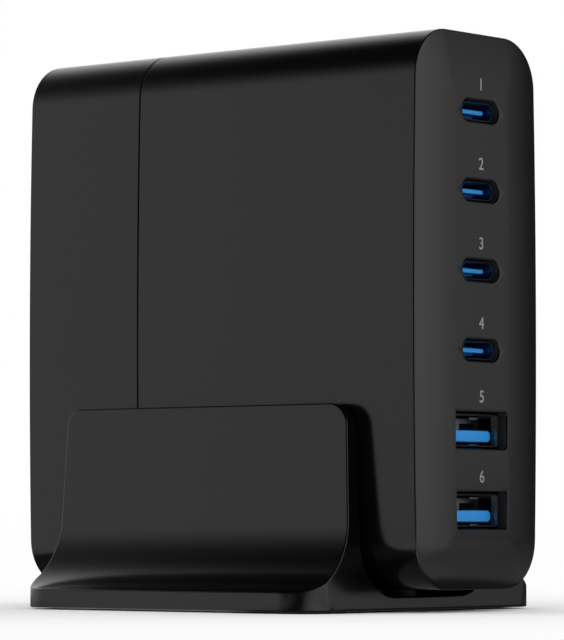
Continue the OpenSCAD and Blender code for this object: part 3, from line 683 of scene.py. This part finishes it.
# %% [markdown]
# ## Sockets
# Both kinds of socket are a metal shell round a plastic tongue, and all stand on one board. A shell
# is a tube with a rounded lip. It could be a box with a wall from Solidify, but as loops its lip and
# the first stretch inside it can have colours of their own: painted shade on the lip and, in the type
# A shells, painted light just inside it.

# %% Shells and bars
BOARD_DEEP = 14
BOARD_Y = FRONT_Y + END_WALL + BOARD_DEEP
SHEET, LIP_STEPS, MOUTH_RUN, LEAST_CORNER = 0.3, 4, 1.25, 0.05
BAR_STEPS, LEAST_BAR_CORNER = 3, 0.04


def tube(bm, outline, mouth_y, z, lip):
    """A shell from its mouth to the board; its rounded lip and the stretch behind it are marked."""
    w, h, r = outline
    loops = []
    for k in range(LIP_STEPS + 1):
        a = math.pi * k / LIP_STEPS
        set_in = SHEET / 2 * (1 - math.cos(a))
        points = round_rect(w - 2 * set_in, h - 2 * set_in, max(r - set_in, LEAST_CORNER))
        loops.append(loop_of(bm, upright(points, mouth_y + lip * (1 - math.sin(a)), z)))
    bore = round_rect(w - 2 * SHEET, h - 2 * SHEET, max(r - SHEET, LEAST_CORNER))
    loops += [loop_of(bm, upright(bore, y, z)) for y in (mouth_y + MOUTH_RUN, BOARD_Y)]
    outside = loop_of(bm, upright(round_rect(w, h, r), BOARD_Y, z))
    strips = skin(bm, loops + [outside, loops[0]])
    # Material 1 is the lip, which carries painted shade; material 2 is the stretch behind it, which
    # carries painted light in the type A shells.
    for k, strip in enumerate(strips[:LIP_STEPS + 1]):
        for face in strip:
            face.material_index = 1 if k < LIP_STEPS else 2


def bar(bm, outline, y0, y1, z, edge=0.12):
    """A solid bar with its front edge rounded."""
    w, h, r = outline
    loops = []
    for k in range(BAR_STEPS + 1):
        a = math.pi / 2 * k / BAR_STEPS
        set_in = edge * (1 - math.sin(a))
        points = round_rect(w - 2 * set_in, h - 2 * set_in, max(r - set_in, LEAST_BAR_CORNER))
        loops.append(loop_of(bm, upright(points, y0 + edge * (1 - math.cos(a)), z)))
    loops.append(loop_of(bm, upright(round_rect(w, h, r), y1, z)))
    skin(bm, loops)
    cap(bm, loops[0])
    cap(bm, loops[-1])


print("the board stands", round(BOARD_Y - FRONT_Y, 2), "mm behind the front")

# %% [markdown]
# A type C socket is a drawn tube with a thin tongue in its middle. The tongue thickens in two steps
# towards the block that carries it. Each bar has its width, its height and its corner radius.

# %% Type C sockets
C_MOUTH = FRONT_Y + 0.8
C_SHELL, C_LIP = (8.9, 3.3, 1.64), 0.1
C_TONGUE, C_STEP, C_BLOCK = (6.7, 0.75, 0.36), (7.3, 1.5, 0.7), (8.2, 2.6, 1.28)
C_TONGUE_FROM, C_STEP_FROM, C_BLOCK_FROM, C_TONGUE_TO = 1.3, 3.6, 6, 6.4

for i, z in enumerate(PORT_Z[:C_PORTS], 1):
    bm = bmesh.new()
    tube(bm, C_SHELL, C_MOUTH, z, C_LIP)
    name = f"usb_c_shell_{i}"
    # The lip of a type C shell carries painted shade.
    finish_piece("dressed_" + name, bm, [shell_dark_blue, blue_rim_painted_shade, shell_dark_blue], [name])
    bm = bmesh.new()
    bar(bm, C_TONGUE, C_MOUTH + C_TONGUE_FROM, C_MOUTH + C_TONGUE_TO, z)
    bar(bm, C_STEP, C_MOUTH + C_STEP_FROM, C_MOUTH + C_TONGUE_TO, z)
    bar(bm, C_BLOCK, C_MOUTH + C_BLOCK_FROM, BOARD_Y, z)
    name = f"usb_c_core_{i}"
    finish_piece("dressed_" + name, bm, [socket_blue], [name])

# %% [markdown]
# A type A socket is a folded box. Windows are cut in its roof, floor and sides, and a sprung leaf
# dips into each window of the roof and the floor, where it would grip a plug. The leaves could be
# bent from the sheet, but a plain block turned about its root looks the same at this size.

# %% Windows and leaves of a type A shell
A_MOUTH = FRONT_Y + 1.5
A_SHELL, A_LIP = (13.1, 5.7, 0.6), 0.12
LEAF_X, LEAF_Z, LEAF_Y = A_SHELL[0] / 4, 2.7, A_MOUTH + 9.7
LEAF_W, LEAF_L, FLOOR_DIP, ROOF_DIP = 2.4, 7.0, 2.45, 5.0
WINDOW_HALF, WINDOW_FROM, WINDOW_TO = 1.6, A_MOUTH + 2.5, A_MOUTH + 9.5
SIDE_FROM, SIDE_TO, SIDE_LOW, SIDE_HIGH = A_MOUTH + 1.3, A_MOUTH + 4.2, -1.9, 2.1
PAST_X, PAST_Z = 8, 4


def box_between(bm, low, high):
    """A block given by two opposite corners."""
    size = [b - a for a, b in zip(low, high)]
    middle = [(a + b) / 2 for a, b in zip(low, high)]
    place = Matrix.Translation(middle) @ Matrix.Diagonal((*size, 1))
    return bmesh.ops.create_cube(bm, size=1, matrix=place)["verts"]


def shell_windows(z):
    """The blocks that cut the windows: two through roof and floor, one through both sides."""
    windows = bmesh.new()
    for x in (-LEAF_X, LEAF_X):
        low, high = (x - WINDOW_HALF, WINDOW_FROM, z - PAST_Z), (x + WINDOW_HALF, WINDOW_TO, z + PAST_Z)
        box_between(windows, low, high)
    box_between(windows, (-PAST_X, SIDE_FROM, z + SIDE_LOW), (PAST_X, SIDE_TO, z + SIDE_HIGH))
    return windows


def add_leaves(bm, z):
    """Four leaves, each turned about its root so that its tip dips into the shell."""
    for x in (-LEAF_X, LEAF_X):
        for up, dip in ((-1, FLOOR_DIP), (1, ROOF_DIP)):
            low, high = (x - LEAF_W / 2, -LEAF_L, -SHEET / 2), (x + LEAF_W / 2, 0, SHEET / 2)
            verts = box_between(bm, low, high)
            root = Matrix.Translation((0, LEAF_Y, z + up * LEAF_Z))
            turned = root @ Matrix.Rotation(math.radians(up * dip), 4, "X")
            bmesh.ops.transform(bm, matrix=turned, verts=verts)


tips = [round(LEAF_L * math.sin(math.radians(dip)), 2) for dip in (FLOOR_DIP, ROOF_DIP)]
print("leaf tips dip by", tips, "mm in the floor and the roof")

# %% [markdown]
# Behind the side windows stands a slotted plate, as wide as the shell inside, that shows as light
# and dark patches over the tongue. It is a bar across the top with a foot at each end and in the
# middle, so four blocks make it.

# %% The slotted plate
PLATE_Y, PLATE_T = A_MOUTH + 4.4, 0.3
PLATE_LOW, PLATE_BAR, PLATE_TOP = 0.02, 1.25, 2.1
PLATE_X, PLATE_FOOT_X, PLATE_MID_X = 6.2, 5.4, 1.3


def add_plate(bm, z):
    """The plate over the tongue: a bar and its three feet."""
    blocks = (
        (-PLATE_X, PLATE_BAR, PLATE_X, PLATE_TOP),
        (-PLATE_X, PLATE_LOW, -PLATE_FOOT_X, PLATE_BAR),
        (PLATE_FOOT_X, PLATE_LOW, PLATE_X, PLATE_BAR),
        (-PLATE_MID_X, PLATE_LOW, PLATE_MID_X, PLATE_BAR),
    )
    for x0, z0, x1, z1 in blocks:
        box_between(bm, (x0, PLATE_Y, z + z0), (x1, PLATE_Y + PLATE_T, z + z1))


print("the plate is", 2 * PLATE_X, "mm wide and", PLATE_TOP - PLATE_LOW, "mm high")

# %% [markdown]
# The thick tongue lies low in the box, and four gold contacts lie in its top, a hair proud of it.
# Shell, tongue and contacts are three pieces, because each stands for its own solid.

# %% Type A sockets
A_TONGUE, TONGUE_DROP, TONGUE_EDGE_R, A_BLOCK = (11.1, 2.0, 0.9), 1, 0.25, (12.4, 5.0, 0.3)
A_TONGUE_FROM, A_BLOCK_FROM, A_TONGUE_TO = 0.8, 9.8, 10.2
CONTACTS, CONTACT_PITCH, CONTACT_W, CONTACT_DEEP, CONTACT_PROUD = 4, 2.5, 1.0, 0.1, 0.03
CONTACT_FROM, CONTACT_TO = A_MOUTH + 1.6, A_MOUTH + 9.3

for i, z in enumerate(PORT_Z[C_PORTS:], 1):
    bm = bmesh.new()
    tube(bm, A_SHELL, A_MOUTH, z, A_LIP)
    bmesh.ops.recalc_face_normals(bm, faces=bm.faces)
    bm = carve(bm, shell_windows(z), "DIFFERENCE")
    add_leaves(bm, z)
    add_plate(bm, z)
    name = f"usb_a_shell_{i}"
    # The rim carries painted shade and the stretch just inside it painted light.
    finish_piece("dressed_" + name, bm, [shell_steel, steel_rim_painted_shade, steel_mouth_painted_light], [name])
    bm = bmesh.new()
    bar(bm, A_TONGUE, A_MOUTH + A_TONGUE_FROM, A_MOUTH + A_TONGUE_TO, z - TONGUE_DROP, TONGUE_EDGE_R)
    bar(bm, A_BLOCK, A_MOUTH + A_BLOCK_FROM, BOARD_Y, z)
    name = f"usb_a_core_{i}"
    finish_piece("dressed_" + name, bm, [socket_blue], [name])
    bm = bmesh.new()
    for k in range(CONTACTS):
        x = (k - (CONTACTS - 1) / 2) * CONTACT_PITCH
        low = (x - CONTACT_W / 2, CONTACT_FROM, z - CONTACT_DEEP)
        high = (x + CONTACT_W / 2, CONTACT_TO, z + CONTACT_PROUD)
        box_between(bm, low, high)
    name = f"usb_a_contacts_{i}"
    finish_piece("dressed_" + name, bm, [contact_gold], [name])

# %% [markdown]
# ## Port numbers
# A plain number is printed over each socket. A number could be an image on the face, but a text
# object turned into a mesh stays sharp from near by. It is stood up on the front and laid about a
# hundredth of a millimetre proud, as screen-printed ink is.

# %% Numbers on the front
PRINT_SIZE, PRINT_SPREAD, PRINT_HALF = 2.9, 0.03, 0.008  # height, swell and half thickness
C_PRINT_UP, A_PRINT_UP = 4.5, 5.6

for i, z in enumerate(PORT_Z, 1):
    curve = bpy.data.curves.new(f"number_{i}", "FONT")
    curve.body = str(i)
    curve.size, curve.offset, curve.extrude = PRINT_SIZE, PRINT_SPREAD, PRINT_HALF
    curve.align_x, curve.align_y = "CENTER", "CENTER"
    text = bpy.data.objects.new("number", curve)
    bpy.context.scene.collection.objects.link(text)
    bpy.context.view_layer.update()
    bm = bmesh.new()
    solid = text.evaluated_get(bpy.context.evaluated_depsgraph_get())
    bm.from_mesh(solid.to_mesh())
    solid.to_mesh_clear()
    bpy.data.objects.remove(text)
    bpy.data.curves.remove(curve)
    up = C_PRINT_UP if i <= C_PORTS else A_PRINT_UP
    stand = Matrix.Translation((0, FRONT_Y + PRINT_HALF, z + up)) @ Matrix.Rotation(math.pi / 2, 4, "X")
    bmesh.ops.transform(bm, matrix=stand, verts=bm.verts)
    finish_piece(f"port_number_{i}", bm, [label_ink])

# %% [markdown]
# ## Mains inlet
# The inlet is a moulded cup, set flush in the rear wall and held by a flange behind it. Its mouth
# and its outside are two stacks of loops, joined by a cap at the face, as a turned part would be
# drawn from its sections.

# %% The cup of the inlet
MOUTH, MOUTH_DEEP, MOUTH_STEPS = (7.9, 15, 3.94), 10, 12
MOUTH_EDGE_R, MOUTH_EDGE_STEPS = 0.3, 4
FACE, FACE_EDGE, INLET_DEEP = (11.5, 20, 1.5), 0.15, 16
FLANGE, FLANGE_T = (15.5, 24, 3.5), 1.5


def inlet_loop(bm, outline, grow, depth, steps=8):
    """A loop of the inlet, grown by a distance, at a depth behind the rear face."""
    w, h, r = outline
    points = round_rect(w + 2 * grow, h + 2 * grow, r + grow, steps)
    return loop_of(bm, upright(points, BACK_Y - depth, INLET_Z))


bm = bmesh.new()
mouth = []
for k in range(MOUTH_EDGE_STEPS + 1):
    a = math.pi / 2 * k / MOUTH_EDGE_STEPS
    grow, depth = MOUTH_EDGE_R * (1 - math.sin(a)), MOUTH_EDGE_R * (1 - math.cos(a))
    mouth.append(inlet_loop(bm, MOUTH, grow, depth, MOUTH_STEPS))
mouth.append(inlet_loop(bm, MOUTH, 0, MOUTH_DEEP, MOUTH_STEPS))
skin(bm, mouth)
cap(bm, mouth[-1])
outside = [inlet_loop(bm, FACE, -FACE_EDGE, 0)]
outside += [inlet_loop(bm, FACE, 0, depth) for depth in (FACE_EDGE, END_WALL)]
outside += [inlet_loop(bm, FLANGE, 0, depth) for depth in (END_WALL, END_WALL + FLANGE_T)]
outside += [inlet_loop(bm, FACE, 0, depth) for depth in (END_WALL + FLANGE_T, INLET_DEEP)]
skin(bm, outside)
cap(bm, mouth[0], outside[0])
cap(bm, outside[-1])
finish_piece("dressed_ac_inlet", bm, [inlet_black], ["ac_inlet"])

# %% [markdown]
# Each pin is turned from a rod: half of its outline, from its round nose to its end, is spun about
# its axis. A square arm at its end runs across to the main board.

# %% The pins of the inlet
PIN_R, PIN_UP, PIN_NOSE, PIN_STEPS = 1.2, 4.3, 0.9, 28
PIN_TIP, PIN_END, ARM_X = BACK_Y - 1.2, BACK_Y - 18, -10.55
NOSE_ANGLES = (0.3, 0.6, 0.9, 1.2, math.pi / 2)

for i, side in ((1, 1), (2, -1)):
    z = INLET_Z + side * PIN_UP
    rod = [(0.0, PIN_TIP)]
    rod += [(PIN_R * math.sin(a), PIN_TIP - PIN_NOSE + PIN_NOSE * math.cos(a)) for a in NOSE_ANGLES]
    rod += [(PIN_R, PIN_END), (0.0, PIN_END)]
    bm = bmesh.new()
    verts = [bm.verts.new((x, y, z)) for x, y in rod]
    edges = [bm.edges.new(pair) for pair in zip(verts, verts[1:])]
    bmesh.ops.spin(
        bm, geom=verts + edges, cent=(0, 0, z), axis=(0, 1, 0), dvec=(0, 0, 0),
        angle=2 * math.pi, steps=PIN_STEPS, use_merge=True,
    )
    box_between(bm, (ARM_X, PIN_END - PIN_R, z - PIN_R), (0, PIN_END + PIN_R, z + PIN_R))
    name = f"inlet_pin_{i}"
    finish_piece("dressed_" + name, bm, [contact_gold], [name])

# %% [markdown]
# ## Finishes of the solids that stay
# The parts inside and the pads keep their solids, because none of their small rounds would show.
# Each gets the finish of its real material, found by the slot that the record gives it.

# %% Finishes for the kept solids
FINISHES = {
    "circuit_board": finish("green_solder_mask", (0.01, 0.09, 0.04), 0.3, 0.05, 3000.0),
    "contact_gold": contact_gold,
    "part_black": finish("moulded_black_package", (0.02, 0.02, 0.02), 0.55, 0.08, 5000.0, 0.2),
    "part_blue": finish("blue_epoxy", (0.02, 0.06, 0.3), 0.25, 0.05, 1500.0, 0.3),
    "part_yellow": finish("yellow_film_case", (0.5, 0.33, 0.03), 0.4, 0.06),
    "ferrite": finish("sintered_ferrite", (0.03, 0.03, 0.032), 0.6, 0.1, 2500.0, 0.4),
    "copper": finish("lacquered_copper", (0.5, 0.16, 0.05), 0.3, 0.06, 1200.0, 0.4, Metallic=1.0),
    "can_sleeve": finish("dark_can_sleeve", (0.01, 0.012, 0.05), 0.25, 0.04),
    "can_metal": finish("drawn_aluminium_can", (0.6, 0.61, 0.63), 0.3, 0.06, Metallic=1.0),
    "spreader_metal": finish("rolled_aluminium_plate", (0.62, 0.63, 0.65), 0.35, 0.08, Metallic=1.0),
    "pad_soft": finish("grey_thermal_pad", (0.2, 0.22, 0.24), 0.7, 0.08, 2500.0, 0.3),
    "film": finish("amber_film", (0.5, 0.42, 0.22), 0.35, 0.05),
    "pad_rubber": soft_rubber,
}
slot_of = {part["node"]: part["material_slot"] for part in frame["record"]["subparts"]}
kept = 0
for name, node in nodes.items():
    chosen = FINISHES.get(slot_of.get(name))
    if chosen:
        for slot in node.material_slots:
            slot.link = "OBJECT"
            slot.material = chosen
        kept += 1
print("kept solids with a finish:", kept)

# %% [markdown]
# ## Floor and light
# The charger stands on a pale floor in an even white room, so its colours come out as written. The
# room could have lamps, but a plain white world gives the soft shadow of the photograph by itself.

# %% Room and floor
FLOOR_R, FLOOR_STEPS = 30, 64

bpy.context.scene.view_settings.view_transform = "Standard"
world = bpy.data.worlds.new("white_room")
bpy.context.scene.world = world
world.use_nodes = True
world.node_tree.nodes["Background"].inputs["Color"].default_value = (1, 1, 1, 1)
world.node_tree.nodes["Background"].inputs["Strength"].default_value = 1.0

floor_bm = bmesh.new()
bmesh.ops.create_circle(floor_bm, cap_ends=True, radius=FLOOR_R, segments=FLOOR_STEPS)
floor = as_object(floor_bm, "floor")
floor_paint = finish(
    "pale_floor", (0.995, 0.995, 0.995), 0.9, 0.05, 300.0, 0.0, 0.003, Specular_IOR_Level=0.0
)
floor.data.materials.append(floor_paint)
floor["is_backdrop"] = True
print("floor radius", FLOOR_R, "m")

# %% [markdown]
# A black plastic shows only what it mirrors, so a tent of graded cloth stands round the charger, as
# in a product studio, and rings of cloth lie on the floor for the faces that look down. They act on
# reflections alone and shed neither light nor shadow. Each table gives the brightness of a cloth by
# direction, in degrees round the charger from its right side over its back (90) and its left side
# (180) to its front (270). From this camera the left side mirrors what stands at about 143 degrees
# and the middle of the front what stands at about 323, so a tone in the photograph says how bright
# the cloth is there. The rounds between them sweep over the rest.

# %% Tones of the cloth
ROUND = {
    0: 0.05, 18: 0.05, 34: 1.0, 152: 1.0, 162: 0.25, 171: 0.07, 215: 0.05, 228: 0.14, 238: 0.45, 250: 1.05,
    262: 1.5, 285: 1.65, 300: 1.65, 308: 1.22, 315: 0.92, 320: 0.78, 322.5: 0.66, 324: 0.48, 327: 0.38,
    333: 0.26, 340: 0.08, 352: 0.05, 360: 0.05,
}
FRONT_FLOOR = {
    **ROUND, 262: 1.5, 285: 1.5, 300: 1.3, 308: 0.8, 315: 0.4, 320: 0.25, 322.5: 0.22, 324: 0.2, 327: 0.18,
}
NEAR_FLOOR = {
    0: 0.05, 95: 0.1, 110: 0.2, 120: 1.0, 204: 1.0, 212: 0.05, 222: 0.05, 228: 1.4, 236: 1.9, 244: 1.4,
    254: 0.6, 266: 0.8, 276: 0.8, 290: 0.5, 308: 0.4, 327: 0.2, 340: 0.08, 360: 0.05,
}
EDGE_FLOOR = {
    **NEAR_FLOOR, 110: 0.1, 120: 0.1, 124: 0.1, 150: 1.0, 254: 0.2, 266: 0.1, 276: 0.1, 290: 0.1,
    308: 0.1, 327: 0.1,
}
FOOT_FLOOR = {0: 0.05, 130: 0.05, 146: 0.95, 205: 0.95, 214: 0.15, 360: 0.05}
print("tones in the tent:", len(ROUND), "from", min(ROUND.values()), "to", max(ROUND.values()))

# %% [markdown]
# The tones become a colour ramp. Its colours go from black to white, so it holds each tone as a share
# of the brightest one, and the glow is multiplied by that tone. Overhead the tent fades into a dark
# cap, whose axis leans to the left side; its stops are angles from that axis.

# %% Ramps along a direction
TENT_R = 1.3
DARK_CAP = {0: 0.0, 40: 0.0, 64: 1.0, 90: 1.0}
CAP_TURN, CAP_TILT = math.radians(190), math.radians(21)


def ramp(tree, value, stops, ease="LINEAR"):
    """Brightness graded along a value from 0 to 1, as shares of its peak, and the peak."""
    node = tree.nodes.new("ShaderNodeValToRGB")
    node.color_ramp.interpolation = ease
    elements = node.color_ramp.elements
    peak, places = max(stops.values()), sorted(stops)
    for place in places[1:-1]:
        elements.new(place)
    for element, place in zip(elements, places):
        element.color = (*[stops[place] / peak] * 3, 1)
    tree.links.new(value, node.inputs["Fac"])
    return node.outputs["Color"], peak


def way_round(tree, place):
    """The direction round the charger, from 0 to 1."""
    half_turn = tree.nodes.new("ShaderNodeVectorMath")
    half_turn.operation = "MULTIPLY"
    half_turn.inputs[1].default_value = (-1, -1, 1)
    about = tree.nodes.new("ShaderNodeTexGradient")
    about.gradient_type = "RADIAL"
    tree.links.new(place, half_turn.inputs[0])
    tree.links.new(half_turn.outputs["Vector"], about.inputs["Vector"])
    return about.outputs["Fac"]


def way_up(tree, place):
    """On the tent, the cosine of the angle from the axis of the cap."""
    axis = Vector((math.cos(CAP_TURN), math.sin(CAP_TURN), 0)) * math.sin(CAP_TILT)
    axis.z = math.cos(CAP_TILT)
    along = tree.nodes.new("ShaderNodeVectorMath")
    along.operation = "DOT_PRODUCT"
    along.inputs[1].default_value = axis / TENT_R
    tree.links.new(place, along.inputs[0])
    return along.outputs["Value"]


dark_to = max(angle for angle, tone in DARK_CAP.items() if tone == 0)
print("the cap is dark up to", dark_to, "degrees from its axis")

# %% [markdown]
# The cloth glows by itself, so it needs no lamp.

# %% Graded cloth
def graded_cloth(thing, stops):
    """Cloth that glows by its direction from the charger and fades into the dark cap."""
    cloth = bpy.data.materials.new(thing.name + "_cloth")
    cloth.use_nodes = True
    tree = cloth.node_tree
    tree.nodes.clear()
    place = tree.nodes.new("ShaderNodeTexCoord").outputs["Object"]
    round_stops = {angle / 360: tone for angle, tone in stops.items()}
    round_tone, peak = ramp(tree, way_round(tree, place), round_stops)
    cap_stops = {math.cos(math.radians(angle)): tone for angle, tone in DARK_CAP.items()}
    high_tone, _ = ramp(tree, way_up(tree, place), cap_stops, "EASE")
    blend = tree.nodes.new("ShaderNodeMix")
    blend.data_type, blend.blend_type = "RGBA", "MULTIPLY"
    blend.inputs["Factor"].default_value = 1
    tree.links.new(round_tone, blend.inputs["A"])
    tree.links.new(high_tone, blend.inputs["B"])
    glow = tree.nodes.new("ShaderNodeEmission")
    glow.inputs["Strength"].default_value = peak
    tree.links.new(blend.outputs["Result"], glow.inputs["Color"])
    out = tree.nodes.new("ShaderNodeOutputMaterial")
    tree.links.new(glow.outputs["Emission"], out.inputs["Surface"])
    thing.data.materials.append(cloth)
    thing.visible_camera = thing.visible_diffuse = thing.visible_shadow = False
    thing.visible_transmission = thing.visible_volume_scatter = False
    thing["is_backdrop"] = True


# %% [markdown]
# The tent is a sphere without its bottom. The floor cloth is four rings, because a face that looks
# down mirrors the floor nearer to the foot the more it is turned: the inner rings darken the lower
# rounds of the body and of the cradle, and the outer ones carry on the tones of the tent.

# %% Tent and floor cloth
TENT_ROUND_STEPS, TENT_HIGH_STEPS, TENT_LOW = 64, 48, -0.12
CLOTH_Z, RING_STEPS = 0.0002, 64
RINGS = (
    ("foot_floor_cloth", FOOT_FLOOR, 0.02, 0.047),
    ("edge_floor_cloth", EDGE_FLOOR, 0.047, 0.062),
    ("near_floor_cloth", NEAR_FLOOR, 0.062, 0.16),
    ("far_floor_cloth", FRONT_FLOOR, 0.16, 1.28),
)

tent_bm = bmesh.new()
bmesh.ops.create_uvsphere(
    tent_bm, u_segments=TENT_ROUND_STEPS, v_segments=TENT_HIGH_STEPS, radius=TENT_R
)
bottom = [v for v in tent_bm.verts if v.co.z < TENT_LOW * TENT_R]
bmesh.ops.delete(tent_bm, geom=bottom, context="VERTS")
for face in tent_bm.faces:
    face.smooth = True
tent = as_object(tent_bm, "tent")
graded_cloth(tent, ROUND)
for name, tones, inner_r, outer_r in RINGS:
    ring_bm = bmesh.new()
    loops = [
        loop_of(ring_bm, [(x, y, CLOTH_Z) for x, y in full_circle(r, RING_STEPS)])
        for r in (inner_r, outer_r)
    ]
    skin(ring_bm, loops)
    graded_cloth(as_object(ring_bm, name), tones)
print("tent of", len(tent.data.polygons), "faces and", len(RINGS), "rings on the floor")

# %% Measure and finish
low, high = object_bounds()
print("size in mm", [round(1000 * v, 2) for v in high - low])
